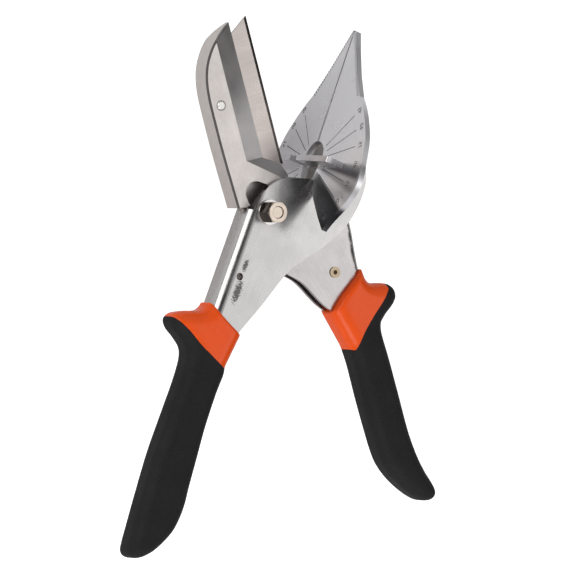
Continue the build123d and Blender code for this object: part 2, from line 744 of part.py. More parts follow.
with BuildPart() as anvil_collar:
    add(anvil_sheath)
    add(anvil_collar_space, mode=Mode.INTERSECT)
    add(anvil_lever.part, mode=Mode.SUBTRACT)

with BuildPart() as anvil_grip:
    add(anvil_sheath)
    add(anvil_collar_space, mode=Mode.SUBTRACT)
    add(anvil_lever.part, mode=Mode.SUBTRACT)

with BuildPart() as blade_collar:
    add(blade_sheath)
    add(blade_collar_space, mode=Mode.INTERSECT)
    add(blade_lever.part, mode=Mode.SUBTRACT)

with BuildPart() as blade_grip:
    add(blade_sheath)
    add(blade_collar_space, mode=Mode.SUBTRACT)
    add(blade_lever.part, mode=Mode.SUBTRACT)

# Every piece moves together, so that the origin lies below the middle of the tool
pieces = {
    "anvil_lever": anvil_lever, "anvil_plate": anvil_plate, "fence_front": fence_front,
    "fence_rear": fence_rear, "pivot_bolt": pivot_bolt, "pivot_washer": pivot_washer,
    "pivot_nut": pivot_nut, "friction_washer_front": friction_washer_front,
    "friction_washer_rear": friction_washer_rear, "anvil_collar": anvil_collar,
    "anvil_grip": anvil_grip, "blade_lever": blade_lever, "holder_body": holder_body,
    "holder_cover": holder_cover, "blade": blade, "blade_pegs": blade_pegs,
    "holder_rivet": holder_rivet, "tongue_rivet": tongue_rivet, "lever_rivet": lever_rivet,
    "pivot_bush": pivot_bush, "return_spring": return_spring, "blade_collar": blade_collar,
    "blade_grip": blade_grip,
}
whole = Compound(children=[Compound(piece.part.solids()) for piece in pieces.values()])
box = whole.bounding_box()
placement = Location((-box.center().X, -box.center().Y, -box.min.Z))
os.makedirs("parts", exist_ok=True)
for label, piece in pieces.items():
    placed = piece.part.moved(placement)
    placed.label = label
    export_step(placed, "parts/" + label + ".step")
pivot_place = placement.position
print("pivot axis at", round(pivot_place.X, 4), round(pivot_place.Y, 4), round(pivot_place.Z, 4))
print("size", round(box.size.X, 3), round(box.size.Y, 3), round(box.size.Z, 3))
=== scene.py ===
# %% [markdown]
# # Mitre shears
# Mitre shears are two folded steel levers on one bolt. One lever carries a slotted
# protractor table, the other a straight blade that closes into the slot. The metal shapes
# come from the CAD frame. This lesson gives them their finishes, and models the soft
# mouldings of the handles and the marks of the scale.

# %% Load the frame
import bpy
import json
from math import cos, hypot, radians, sin, sqrt
from mathutils import Matrix, Vector
from mathutils.kdtree import KDTree


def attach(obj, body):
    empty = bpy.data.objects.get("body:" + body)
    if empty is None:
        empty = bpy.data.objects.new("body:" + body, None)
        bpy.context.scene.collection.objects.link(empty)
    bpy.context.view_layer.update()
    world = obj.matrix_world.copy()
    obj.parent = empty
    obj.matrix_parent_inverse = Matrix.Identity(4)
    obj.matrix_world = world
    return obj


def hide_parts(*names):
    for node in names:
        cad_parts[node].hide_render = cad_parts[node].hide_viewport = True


MM = 0.001
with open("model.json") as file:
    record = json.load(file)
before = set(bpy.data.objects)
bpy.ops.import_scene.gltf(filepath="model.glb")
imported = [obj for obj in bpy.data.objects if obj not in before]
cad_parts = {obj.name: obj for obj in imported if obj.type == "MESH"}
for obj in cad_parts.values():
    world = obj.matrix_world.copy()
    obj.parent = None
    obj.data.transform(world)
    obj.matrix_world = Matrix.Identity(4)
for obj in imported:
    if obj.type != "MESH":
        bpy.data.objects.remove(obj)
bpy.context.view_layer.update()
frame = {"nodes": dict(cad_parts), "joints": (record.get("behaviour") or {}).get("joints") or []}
nodes = frame["nodes"]
pivot = Vector(frame["joints"][0]["pos_m"])
print("nodes:", len(nodes), "pivot at", tuple(pivot))

# %% [markdown]
# The photograph is taken with a long lens from 29 degrees to the left of the pivot axis,
# with the jaws up. A plain camera matrix says this best: its columns are the picture's
# right, the picture's up and the way back to the lens. The view is 0.40 mm wide per
# pixel at the pivot, which the distance and the focal length give.

# %% Camera at the photograph's angle
view_turn, view_lift = radians(29), radians(1)
lens_distance = 5.0
picture_pixels, pixel_size, film_width = 576, 0.40 * MM, 36
aim_right, aim_down = 10.8 * MM, 30.4 * MM

back = Vector((-sin(view_turn) * cos(view_lift), sin(view_lift), cos(view_turn) * cos(view_lift)))
right = Vector((cos(view_turn), 0, sin(view_turn)))
up = back.cross(right)
camera_data = bpy.data.cameras.new("photo_camera")
camera_data.sensor_width = film_width
camera_data.lens = film_width * lens_distance / (picture_pixels * pixel_size)
camera = bpy.data.objects.new("photo_camera", camera_data)
camera.matrix_world = Matrix((right, up, back)).transposed().to_4x4()
camera.location = pivot + right * aim_right - up * aim_down + back * lens_distance
bpy.context.collection.objects.link(camera)
bpy.context.scene.camera = camera
bpy.context.scene.view_settings.view_transform = "Standard"
print("camera", round(camera_data.lens), "mm at", tuple(round(v, 3) for v in camera.location))

# %% [markdown]
# A shader is a chain of small nodes. These helpers make one node each, with every input
# either set to a constant or linked to the output of another node.

# %% Node helpers
def feed(tree, socket, value):
    """Link a socket to an output, or set it to a constant."""
    if isinstance(value, bpy.types.NodeSocket):
        tree.links.new(value, socket)
    else:
        socket.default_value = value


def math_node(tree, operation, *values, kind="ShaderNodeMath"):
    """Output of a math node with its inputs fed."""
    node = tree.nodes.new(kind)
    node.operation = operation
    for socket, value in zip(node.inputs, values):
        feed(tree, socket, value)
    return node.outputs["Value" if operation == "DOT_PRODUCT" else 0]


def vector_node(tree, operation, *values):
    """Output of a vector math node with its inputs fed."""
    return math_node(tree, operation, *values, kind="ShaderNodeVectorMath")


def fed_node(tree, kind, **inputs):
    """Node with named inputs fed; an underscore stands for a space."""
    node = tree.nodes.new(kind)
    for label, value in inputs.items():
        feed(tree, node.inputs[label.replace("_", " ")], value)
    return node


def map_range(tree, value, from_min, from_max, to_min, to_max):
    """Value moved from one range to another and kept inside it."""
    return fed_node(tree, "ShaderNodeMapRange", Value=value, From_Min=from_min, From_Max=from_max,
                    To_Min=to_min, To_Max=to_max).outputs["Result"]


def coordinates(tree, kind):
    """Texture coordinates of one kind."""
    return tree.nodes.new("ShaderNodeTexCoord").outputs[kind]


def axis_of(tree, vector, axis):
    """One axis of a vector."""
    return fed_node(tree, "ShaderNodeSeparateXYZ", Vector=vector).outputs[axis]


def eased(tree, value, stops, blue=1.0):
    """Soft steps of a value through stops of place and level."""
    ramp = tree.nodes.new("ShaderNodeValToRGB")
    ramp.color_ramp.interpolation = "EASE"
    while len(ramp.color_ramp.elements) < len(stops):
        ramp.color_ramp.elements.new(0.5)
    for element, (place, level) in zip(ramp.color_ramp.elements, stops):
        element.position, element.color = place, (level, level, level * blue, 1)
    feed(tree, ramp.inputs[0], value)
    return ramp.outputs[0]


def blend(tree, factor, first, second):
    """Blend of two colours."""
    mix = tree.nodes.new("ShaderNodeMix")
    mix.data_type = "RGBA"
    for label, value in (("Factor", factor), ("A", first), ("B", second)):
        feed(tree, mix.inputs[label], value)
    return mix.outputs["Result"]


def new_finish(name):
    """New material with its node tree and its shader."""
    finish = bpy.data.materials.new(name)
    finish.use_nodes = True
    return finish, finish.node_tree, finish.node_tree.nodes["Principled BSDF"]


def wear_only(piece, finish):
    """Make one finish the only one of a piece."""
    piece.data.materials.clear()
    piece.data.materials.append(finish)


# %% [markdown]
# Metal shows what stands round it, so the room is part of the finish. A pale world with
# darker bands does what the white tents and grey cards of a product table do. One dark
# patch stands where the photographer does, so faces that look back at the lens turn dark,
# and a dark skyline draws the dark lines along rounded edges.
# The camera itself sees plain white.

# %% Room of light
band_stops = [(0.0, 0.95), (0.14, 1.0), (0.3, 0.8), (0.5, 0.75), (0.66, 0.95), (0.82, 0.8),
              (0.9, 0.3), (0.97, 0.12)]
patch_direction = (-0.28, 0.26, 0.925)

world = bpy.data.worlds.new("product_table")
bpy.context.scene.world = world
world.use_nodes = True
tree = world.node_tree
room = tree.nodes["Background"]
direction = coordinates(tree, "Generated")
left_to_right = map_range(tree, axis_of(tree, direction, "X"), -1, 1, 0, 1)
feed(tree, room.inputs["Color"], eased(tree, left_to_right, band_stops, blue=1.01))
towards_patch = vector_node(tree, "DOT_PRODUCT", direction, patch_direction)
patch = map_range(tree, towards_patch, 0.80, 0.96, 0.62, 0.04)
skyline = map_range(tree, axis_of(tree, direction, "Z"), 0.06, 0.24, 0.12, 1.0)
feed(tree, room.inputs["Strength"], math_node(tree, "MULTIPLY", patch, skyline))
plain = fed_node(tree, "ShaderNodeBackground", Color=(1, 1, 1, 1))
mix = tree.nodes.new("ShaderNodeMixShader")
seen = tree.nodes.new("ShaderNodeLightPath").outputs["Is Camera Ray"]
for socket, value in zip(mix.inputs, (seen, room.outputs[0], plain.outputs[0])):
    feed(tree, socket, value)
feed(tree, tree.nodes["World Output"].inputs["Surface"], mix.outputs[0])


def softbox(name, place, size, power):
    """A square lamp that faces the pivot."""
    data = bpy.data.lights.new(name, "AREA")
    data.shape, data.size, data.energy = "SQUARE", size, power
    lamp = bpy.data.objects.new(name, data)
    lamp.location = place
    lamp.rotation_euler = (pivot - Vector(place)).to_track_quat("-Z", "Y").to_euler()
    bpy.context.collection.objects.link(lamp)


softbox("key_light", (-0.85, 0.52, 0.6), size=0.8, power=4.2)
softbox("fill_light", (0.65, -0.1, 0.7), size=0.6, power=1.2)
softbox("low_light", (-0.3, -0.75, 0.45), size=0.5, power=2.6)

# %% Floor, which glows for the camera only
floor_glow = 0.75
bpy.ops.mesh.primitive_plane_add(size=6, location=(0, 0, 0))
floor = bpy.context.active_object
floor.name = "floor"
floor_finish, tree, base = new_finish("floor_white")
base.inputs["Base Color"].default_value = (0.85, 0.85, 0.85, 1)
base.inputs["Roughness"].default_value = 0.9
base.inputs["Emission Color"].default_value = (1, 1, 1, 1)
seen = tree.nodes.new("ShaderNodeLightPath").outputs["Is Camera Ray"]
feed(tree, base.inputs["Emission Strength"], math_node(tree, "MULTIPLY", seen, floor_glow))
floor.data.materials.append(floor_finish)
print("floor under the tool at z = 0")

# %% [markdown]
# Two effects belong to several finishes: the fine scratches that sheet steel keeps from
# its polishing belt, and the faint cloudiness of handled metal. Each is a shader node
# group with its own scale and strength, so a finish only says how much of it there is.

# %% Shared effects
def new_group(name, inputs, output):
    """Empty shader node group with its input and output nodes."""
    group = bpy.data.node_groups.new(name, "ShaderNodeTree")
    group.interface.new_socket(name="Vector", in_out="INPUT", socket_type="NodeSocketVector")
    for label, value in inputs:
        socket = group.interface.new_socket(name=label, in_out="INPUT", socket_type="NodeSocketFloat")
        socket.default_value = value
    group.interface.new_socket(name=output, in_out="OUTPUT", socket_type="NodeSocketFloat")
    return group, group.nodes.new("NodeGroupInput").outputs, group.nodes.new("NodeGroupOutput").inputs


grain_group, given, result = new_group("polishing_grain", [("Across", 2500.0), ("Along", 60.0)], "Fac")
stretch = fed_node(grain_group, "ShaderNodeCombineXYZ", X=given["Along"], Y=given["Across"], Z=given["Across"])
stretched = vector_node(grain_group, "MULTIPLY", given["Vector"], stretch.outputs[0])
noise = fed_node(grain_group, "ShaderNodeTexNoise", Vector=stretched, Scale=1, Detail=3)
feed(grain_group, result["Fac"], noise.outputs["Fac"])

cloud_group, given, result = new_group("handled_clouds", [("Scale", 120.0), ("Low", 0.0), ("High", 1.0)], "Value")
noise = fed_node(cloud_group, "ShaderNodeTexNoise", Vector=given["Vector"], Scale=given["Scale"], Detail=4)
feed(cloud_group, result["Value"],
     map_range(cloud_group, noise.outputs["Fac"], 0.3, 0.7, given["Low"], given["High"]))


def effect(tree, group, **inputs):
    """Output of a shared effect with its inputs fed."""
    node = tree.nodes.new("ShaderNodeGroup")
    node.node_tree = group
    for label, value in inputs.items():
        feed(tree, node.inputs[label], value)
    return node.outputs[0]


def patterned(tree, pattern, light, dark, strength, distance):
    """Let one pattern mix the shader's base colour and raise its surface."""
    base = tree.nodes["Principled BSDF"]
    feed(tree, base.inputs["Base Color"], blend(tree, pattern, (*dark, 1), (*light, 1)))
    bump = fed_node(tree, "ShaderNodeBump", Strength=strength, Distance=distance, Height=pattern)
    feed(tree, base.inputs["Normal"], bump.outputs[0])


print("effects:", grain_group.name, cloud_group.name)

# %% [markdown]
# All the bare metals share one recipe: a metallic base, belt grain that runs along the
# piece, and clouds that change the roughness a little. What sets them apart is the
# colour, how rough they are and which way the grain runs.

# %% Metal recipe
def metal(name, light, dark, rough, angle=0.0, grain=0.03, across=2500.0, along=60.0, metallic=1.0):
    """Bare metal with belt grain along an angle, in degrees in the plane of the tool."""
    finish, tree, base = new_finish(name)
    base.inputs["Metallic"].default_value = metallic
    place = coordinates(tree, "Object")
    turned = fed_node(tree, "ShaderNodeMapping", Vector=place, Rotation=(0, 0, radians(-angle)))
    belt = effect(tree, grain_group, Vector=turned.outputs[0], Across=across, Along=along)
    clouds = effect(tree, cloud_group, Vector=place, Scale=120.0, Low=rough * 0.85, High=rough * 1.2)
    feed(tree, base.inputs["Roughness"], clouds)
    patterned(tree, belt, light, dark, grain, 0.1 * MM)
    return finish


def darken(finish, mask, tone):
    """Mix a darker tone over the base colour where a mask is 1."""
    tree = finish.node_tree
    colour = tree.nodes["Principled BSDF"].inputs["Base Color"]
    feed(tree, colour, blend(tree, mask, colour.links[0].from_socket, (*tone, 1)))


def slope_mask(finish, low, high):
    """Mask of the faces whose normal leans between two Z shares, front and back."""
    tree = finish.node_tree
    slope = math_node(tree, "ABSOLUTE", axis_of(tree, coordinates(tree, "Normal"), "Z"))
    above = math_node(tree, "GREATER_THAN", slope, low)
    below = math_node(tree, "LESS_THAN", slope, high)
    return math_node(tree, "MULTIPLY", above, below)


def above_mask(finish, height):
    """Mask of what lies above a height over the pivot's middle plane."""
    tree = finish.node_tree
    level = axis_of(tree, coordinates(tree, "Object"), "Z")
    return math_node(tree, "GREATER_THAN", level, pivot.z + height)


sheet_steel = metal("sheet_steel", (0.65, 0.635, 0.625), (0.54, 0.53, 0.52), rough=0.27, angle=68)
lever_steel = metal("lever_steel", (0.55, 0.525, 0.52), (0.46, 0.44, 0.435), rough=0.24, angle=-56)
table_steel = metal("table_steel", (0.97, 0.955, 0.975), (0.91, 0.90, 0.92), rough=0.30, angle=69,
                    grain=0.01, across=900.0, metallic=0.92)
fence_steel = metal("fence_steel", (0.80, 0.785, 0.80), (0.68, 0.67, 0.69), rough=0.30, angle=69)
nickel, cover_nickel = (
    metal(name, (0.84, 0.785, 0.755), (0.70, 0.65, 0.62), rough=0.36, angle=106, across=700.0, along=500.0)
    for name in ("nickel", "cover_nickel"))
ground_blade = metal("ground_blade", (0.67, 0.605, 0.575), (0.55, 0.495, 0.465), rough=0.28, angle=16,
                     across=900.0)
burnished = metal("burnished", (0.16, 0.14, 0.12), (0.07, 0.06, 0.05), rough=0.32)
plated = metal("plated", (0.85, 0.82, 0.78), (0.7, 0.68, 0.65), rough=0.18)
rivet_white = metal("rivet_white", (0.95, 0.94, 0.90), (0.9, 0.88, 0.85), rough=0.3)
bronze = metal("bush_bronze", (0.62, 0.50, 0.36), (0.45, 0.36, 0.25), rough=0.35)
bronze_shaded_below = metal("bronze_shaded_below", (0.84, 0.74, 0.64), (0.62, 0.52, 0.43), rough=0.26, across=500.0,
                    along=500.0)

# %% [markdown]
# Polished steel mirrors dark things beside the table that no simple room holds. They are
# painted into the base colour as dark reflections, and the shade in the holder's seam is painted
# the same way. Some follow the slope of a face: painted reflections on the bends of the holder
# and the ground edge of the blade, painted shade on the rim of the rivet and on the cover's edge in the seam.

# %% Painted dark reflections on slopes, painted shade in the holder's seam and on the nut and bolt below the bolt's end
# Painted dark reflection on the bent faces of the holder.
for steel in (nickel, cover_nickel):
    darken(steel, slope_mask(steel, 0.6, 0.97), (0.40, 0.385, 0.38))
# Painted seam shade: the cover's edge faces are painted near black.
darken(cover_nickel, slope_mask(cover_nickel, -1, 0.5), (0.03, 0.025, 0.02))
# Painted shade on the rim of the rivet.
darken(rivet_white, slope_mask(rivet_white, -1, 0.7), (0.05, 0.045, 0.04))
# Painted dark reflection on the ground edge of the blade.
darken(ground_blade, slope_mask(ground_blade, 0.6, 0.97), (0.07, 0.06, 0.055))

seam_height, bright_height = 4.1 * MM, 13.8 * MM
# Painted seam shade on the holder's front faces above the seam height.
painted_seam_shade = math_node(nickel.node_tree, "MULTIPLY", slope_mask(nickel, 0.97, 2), above_mask(nickel, seam_height))
darken(nickel, painted_seam_shade, (0.13, 0.12, 0.115))
# Painted shade: the nut and bolt are painted dark below the bolt's end, which keeps the light bronze.
painted_shade_below = math_node(bronze_shaded_below.node_tree, "SUBTRACT", 1.0, above_mask(bronze_shaded_below, bright_height))
darken(bronze_shaded_below, painted_shade_below, (0.075, 0.055, 0.045))

# %% [markdown]
# Others fan out from a point: a painted dark reflection on the foot of the front wing, painted
# shade on the corner of the cheek and a painted shade ring round the rivet of the holder. Such a mask
# takes the angle round the point and the distance from it, and eases each through stops of its own.

# %% Painted dark reflection and shade in fans round a point
def plane_shares(tree, centre, axes):
    """Object coordinates from a centre along some axes, each divided by its reach."""
    shift = vector_node(tree, "SUBTRACT", coordinates(tree, "Object"), centre)
    return [math_node(tree, "DIVIDE", vector_node(tree, "DOT_PRODUCT", shift, axis), reach)
            for axis, reach in axes]


def square_sum(tree, a, b):
    """Sum of two squares."""
    return math_node(tree, "ADD", math_node(tree, "MULTIPLY", a, a), math_node(tree, "MULTIPLY", b, b))


def fan_mask(finish, centre, run, across, turns, radii):
    """Mask by the angle round a centre, in degrees, and by the distance from it, in mm."""
    tree, reach = finish.node_tree, 100
    a, b = plane_shares(tree, centre, ((run, reach * MM), (across, reach * MM)))
    full_turns = math_node(tree, "DIVIDE", math_node(tree, "ARCTAN2", b, a), radians(360))
    far = math_node(tree, "SQRT", square_sum(tree, a, b))
    sector = eased(tree, math_node(tree, "FRACT", full_turns), [(turn / 360, level) for turn, level in turns])
    ring = eased(tree, far, [(radius / reach, level) for radius, level in radii])
    return math_node(tree, "MULTIPLY", sector, ring)


x_axis, y_axis, z_axis = (1, 0, 0), (0, 1, 0), (0, 0, 1)
slot_angle, lean = radians(69.2), radians(4.2)
centre_along, centre_behind = 26.8, 14.3
slot_run = Vector((cos(slot_angle), sin(slot_angle), 0))
behind = Vector((sin(slot_angle), -cos(slot_angle), 0))
table_centre = pivot + (slot_run * centre_along + behind * centre_behind) * MM
# Painted dark reflection on the foot of the front wing.
wing_turns = [(88, 0), (92, 0.6), (98, 0.85), (102, 0.3), (107, 0.6), (112, 0.1), (119, 0.0),
              (122, 1.0), (140, 0.97), (152, 0.8), (156, 0)]
wing_radii = [(4, 0), (12, 0.9), (36, 1), (39, 0.5)]
darken(table_steel, fan_mask(table_steel, table_centre, slot_run, z_axis, wing_turns, wing_radii),
       (0.02, 0.02, 0.025))

# Painted shade in a cone from the corner of the cheek.
cheek_corner = pivot + Vector((19.4, 13.6, 0)) * MM
corner_turns = [(176, 0), (184, 0.9), (214, 0.8), (236, 0)]
corner_radii = [(0, 1), (7, 0.85), (13.5, 0)]
darken(sheet_steel, fan_mask(sheet_steel, cheek_corner, x_axis, y_axis, corner_turns, corner_radii),
       (0.06, 0.06, 0.065))

# Painted shade in a ring round the rivet of the holder.
rivet = nodes["holder_rivet"]
rivet_centre = rivet.matrix_world @ (sum((Vector(corner) for corner in rivet.bound_box), Vector()) / 8)
all_round = [(0, 1), (360, 1)]
rim_radii = [(1.3, 0), (1.5, 1), (1.8, 1), (2.1, 0)]
darken(cover_nickel, fan_mask(cover_nickel, rivet_centre, x_axis, y_axis, all_round, rim_radii),
       (0.05, 0.045, 0.04))


# %% Scuffs by the hanging hole
anvil_ray, blade_ray = 248, -56
strokes_along, strokes_across, fade = 2.2, 0.8, 0.22


def scuff(finish, angle, along, left, length, width):
    """Dark rubbed strokes in a long oval that fades outwards, in mm in a handle's frame."""
    tree = finish.node_tree
    turn = radians(angle)
    run, across = Vector((cos(turn), sin(turn), 0)), Vector((-sin(turn), cos(turn), 0))
    centre = pivot + (run * along + across * left) * MM
    a, b = plane_shares(tree, centre, ((run, length * MM), (across, width * MM)))
    spot = fed_node(tree, "ShaderNodeCombineXYZ", X=math_node(tree, "MULTIPLY", a, length * strokes_along),
                    Y=math_node(tree, "MULTIPLY", b, width * strokes_across))
    noise = fed_node(tree, "ShaderNodeTexNoise", Vector=spot.outputs[0], Scale=1)
    rubbed = math_node(tree, "SUBTRACT", noise.outputs["Fac"],
                       math_node(tree, "MULTIPLY", square_sum(tree, a, b), fade))
    darken(finish, map_range(tree, rubbed, 0.27, 0.40, 0.0, 0.85), (0.05, 0.045, 0.045))


scuff(sheet_steel, anvil_ray, along=34.8, left=-1.6, length=5.2, width=1.7)
scuff(sheet_steel, anvil_ray, along=23.7, left=-2.1, length=2.8, width=1.1)

# %% [markdown]
# The collars are glossy injection moulding, the grips a matte foamed rubber. Both are
# coloured right through, so wear shows as gloss rather than as another colour.

# %% Mouldings
def moulding(name, light, dark, rough, spread, pore, depth, specular):
    """Moulded plastic or rubber with a fine pore in its skin."""
    finish, tree, base = new_finish(name)
    base.inputs["Specular IOR Level"].default_value = specular
    place = coordinates(tree, "Object")
    clouds = effect(tree, cloud_group, Vector=place, Scale=90, Low=rough - spread, High=rough + spread)
    feed(tree, base.inputs["Roughness"], clouds)
    speck = fed_node(tree, "ShaderNodeTexNoise", Vector=place, Scale=pore, Detail=2)
    patterned(tree, speck.outputs["Fac"], light, dark, depth, 0.2 * MM)
    return finish


orange_plastic = moulding("orange_plastic", (0.99, 0.104, 0.007), (0.93, 0.09, 0.005), rough=0.24,
                          spread=0.05, pore=300, depth=0.04, specular=0.3)
black_rubber = moulding("black_rubber", (0.017, 0.017, 0.018), (0.003, 0.003, 0.003), rough=0.66,
                        spread=0.06, pore=1600, depth=0.6, specular=0.28)

# %% Finishes on the CAD pieces
for finish, names in (
    (sheet_steel, ["anvil_lever"]),
    (table_steel, ["anvil_plate"]),
    (fence_steel, ["fence_front", "fence_rear"]),
    (lever_steel, ["blade_lever"]),
    (nickel, ["holder_body"]),
    (cover_nickel, ["holder_cover"]),
    (rivet_white, ["holder_rivet"]),
    (ground_blade, ["blade"]),
    (burnished, ["return_spring"]),
    (plated, ["pivot_washer", "tongue_rivet", "blade_pegs"]),
    (bronze, ["lever_rivet", "pivot_bush", "friction_washer_front", "friction_washer_rear"]),
    (bronze_shaded_below, ["pivot_nut", "pivot_bolt"]),
    (orange_plastic, ["anvil_collar", "blade_collar"]),
    (black_rubber, ["anvil_grip", "blade_grip"]),
):
    for name in names:
        wear_only(nodes[name], finish)
    print(finish.name, "on", ", ".join(names))

# %% [markdown]
# The handle mouldings are thick in the hand, with edges rounded by 6 mm. A bevel is the
# wrong tool for that: its corners would collide at the finger guard. Here the outline is
# drawn as a flat face, pulled up to its thickness and remeshed to even small faces. Each
# point then sinks by its distance from the outline, which draws the quarter circle even
# where two borders come close.

# %% Outline drawing
handle_thickness = 16.0 * MM


def select_only(piece):
    """Make one piece the only selected and active one."""
    bpy.ops.object.select_all(action="DESELECT")
    piece.select_set(True)
    bpy.context.view_layer.objects.active = piece


def handle_point(angle, along, left, height):
    """Point of a handle's frame, in mm from the pivot axis, at a height in metres."""
    turn = radians(angle)
    flat = Vector((along * cos(turn) - left * sin(turn), along * sin(turn) + left * cos(turn), 0))
    return pivot + flat * MM + Vector((0, 0, height))


def curve_through(points, steps):
    """Smooth line through points, with a number of steps between neighbours."""
    line = []
    for i in range(len(points) - 1):
        a, b = points[i], points[i + 1]
        before = points[i - 1] if i else (2 * a[0] - b[0], 2 * a[1] - b[1])
        after = points[i + 2] if i + 2 < len(points) else (2 * b[0] - a[0], 2 * b[1] - a[1])
        for step in range(steps):
            t = step / steps
            line.append(tuple(
                0.5 * (2 * p + (q - o) * t + (2 * o - 5 * p + 4 * q - r) * t * t
                       + (3 * p - o - 3 * q + r) * t ** 3)
                for o, p, q, r in zip(before, a, b, after)))
    return line + [points[-1]]


def flat_prism(name, angle, outline, thickness):
    """Flat face with an outline in a handle's frame, pulled up to a thickness."""
    bpy.ops.object.select_all(action="DESELECT")
    bpy.ops.mesh.primitive_circle_add(vertices=len(outline), fill_type="NGON")
    prism = bpy.context.active_object
    prism.name = name
    for vertex, point in zip(prism.data.vertices, outline):
        vertex.co = handle_point(angle, point[0], point[1], -thickness / 2)
    prism.location = (0, 0, 0)
    bpy.ops.object.mode_set(mode="EDIT")
    bpy.ops.mesh.select_all(action="SELECT")
    bpy.ops.mesh.extrude_region_move(TRANSFORM_OT_translate={"value": (0, 0, thickness)})
    bpy.ops.mesh.select_all(action="SELECT")
    bpy.ops.mesh.normals_make_consistent(inside=False)
    bpy.ops.object.mode_set(mode="OBJECT")
    return prism


def apply_all(piece):
    """Apply every modifier of a piece in order."""
    select_only(piece)
    for modifier in list(piece.modifiers):
        bpy.ops.object.modifier_apply(modifier=modifier.name)


# %% Handle outlines, in mm along and left of each handle's ray
anvil_mouth = [(49.9, 7.9), (49.5, 4.8), (47.4, -0.9), (44.6, -7.0), (42.4, -10.2)]
anvil_flank = [(42.4, -10.2), (45.1, -10.9), (47.4, -13.0), (49.3, -17.6), (51.6, -21.9), (53.3, -23.5),
               (55.1, -24.0), (56.9, -23.2), (58.9, -21.0), (61.0, -16.8), (65.0, -12.1), (74.7, -10.8),
               (91.2, -10.8), (106.9, -10.8), (123.7, -9.8), (138.0, -8.7), (145.0, -8.1), (148.2, -7.3),
               (149.7, -5.0), (148.6, -1.3), (144.7, 2.9), (138.9, 6.4), (132.4, 8.9), (123.5, 9.7),
               (114.1, 8.8), (102.2, 7.8), (90.2, 6.8), (76.4, 6.4), (67.5, 6.7), (64.5, 6.1)]
anvil_parting = [(53.6, -25.5), (54.6, -22.8), (56.0, -19.1), (57.3, -15.7), (59.2, -11.9), (61.0, -8.2),
                 (62.3, -4.6), (64.3, 0.8), (65.1, 4.0), (65.2, 8.5), (65.2, 14.0)]
blade_mouth = [(50.6, 1.8), (49.4, 5.4), (47.4, 10.8), (45.3, 18.5), (43.6, 23.8)]
blade_flank = [(43.6, 23.8), (46.5, 23.1), (49.6, 23.2), (52.0, 25.3), (53.8, 28.3), (56.0, 30.6),
               (58.6, 31.5), (60.7, 31.1), (62.5, 29.8), (64.1, 26.8), (65.6, 21.6), (68.6, 17.7),
               (81.2, 13.9), (96.2, 9.3), (109.0, 5.3), (119.1, 3.1), (127.2, 2.3), (134.0, 2.4),
               (137.9, 1.5), (139.2, -1.4), (137.1, -5.1), (132.0, -8.2), (123.6, -11.0), (115.3, -11.9),
               (108.3, -10.8), (98.5, -8.1), (87.1, -4.7), (74.4, -0.6), (66.6, 1.3)]
blade_parting = [(50.0, 28.0), (53.0, 28.9), (54.4, 28.8), (55.6, 28.6), (56.5, 28.0), (57.2, 26.2),
                 (58.9, 22.5), (60.7, 17.4), (62.6, 12.5), (65.0, 7.5), (67.8, 3.4), (68.5, 2.1), (67.4, 1.0),
                 (65.5, -0.6)]


# %% Rounding by distance from the outline
def border_tree(angle, line, gap=0.25):
    """Search tree of points along a line, closer together than a gap in mm."""
    dense = []
    for a, b in zip(line, line[1:]):
        steps = max(1, int(hypot(b[0] - a[0], b[1] - a[1]) / gap))
        dense += [(a[0] + (b[0] - a[0]) * i / steps, a[1] + (b[1] - a[1]) * i / steps) for i in range(steps)]
    tree = KDTree(len(dense))
    for index, point in enumerate(dense):
        tree.insert(handle_point(angle, point[0], point[1], 0), index)
    tree.balance()
    return tree


def round_edges(piece, borders):
    """Lower the faces near each border along a quarter circle."""
    half = handle_thickness / 2
    for vertex in piece.data.vertices:
        spot = Vector((vertex.co.x, vertex.co.y, pivot.z))
        height = half
        for tree, corner in borders:
            depth = max(0.0, corner - tree.find(spot)[2])
            height = min(height, half - corner + sqrt(corner * corner - depth * depth))
        vertex.co.z = pivot.z + (vertex.co.z - pivot.z) * height / half


def remesh_fine(piece, size, passes):
    """Even small faces, then a little smoothing."""
    piece.data.remesh_voxel_size = size
    select_only(piece)
    bpy.ops.object.voxel_remesh()
    melt = piece.modifiers.new("melt", "SMOOTH")
    melt.factor, melt.iterations = 0.5, passes
    apply_all(piece)


# %% Handle mouldings
flank_radius, mouth_radius = 6.0 * MM, 1.2 * MM


def make_handle(side, body, angle, mouth_points, flank_points, parting, clear):
    """Collar and grip of one handle; the cutter reaches some mm past its parting line."""
    mouth, flank = curve_through(mouth_points, 6), curve_through(flank_points, 6)
    sheath = flat_prism(side + "_sheath", angle, mouth[:-1] + flank, handle_thickness)
    remesh_fine(sheath, 0.6 * MM, 2)
    closing = flank + [mouth[0]]
    round_edges(sheath, ((border_tree(angle, closing), flank_radius), (border_tree(angle, mouth), mouth_radius)))
    remesh_fine(sheath, 0.5 * MM, 12)
    line = curve_through(parting, 4)
    beyond = [(0, line[-1][1] + clear), (0, line[0][1] - clear)]
    cutter = flat_prism(side + "_cutter", angle, line + beyond, 3 * handle_thickness)
    grip = sheath.copy()
    grip.data = sheath.data.copy()
    bpy.context.collection.objects.link(grip)
    for piece, name, way, finish, node in (
        (sheath, side + "_collar_moulding", "INTERSECT", orange_plastic, side + "_collar"),
        (grip, side + "_grip_moulding", "DIFFERENCE", black_rubber, side + "_grip"),
    ):
        piece.name = name
        split = piece.modifiers.new("parting", "BOOLEAN")
        split.operation, split.object, split.solver = way, cutter, "EXACT"
        apply_all(piece)
        bpy.ops.object.shade_smooth_by_angle(angle=radians(35))
        wear_only(piece, finish)
        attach(piece, body)
        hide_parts(node)
        print(piece.name, len(piece.data.vertices), "points")
    bpy.data.objects.remove(cutter)


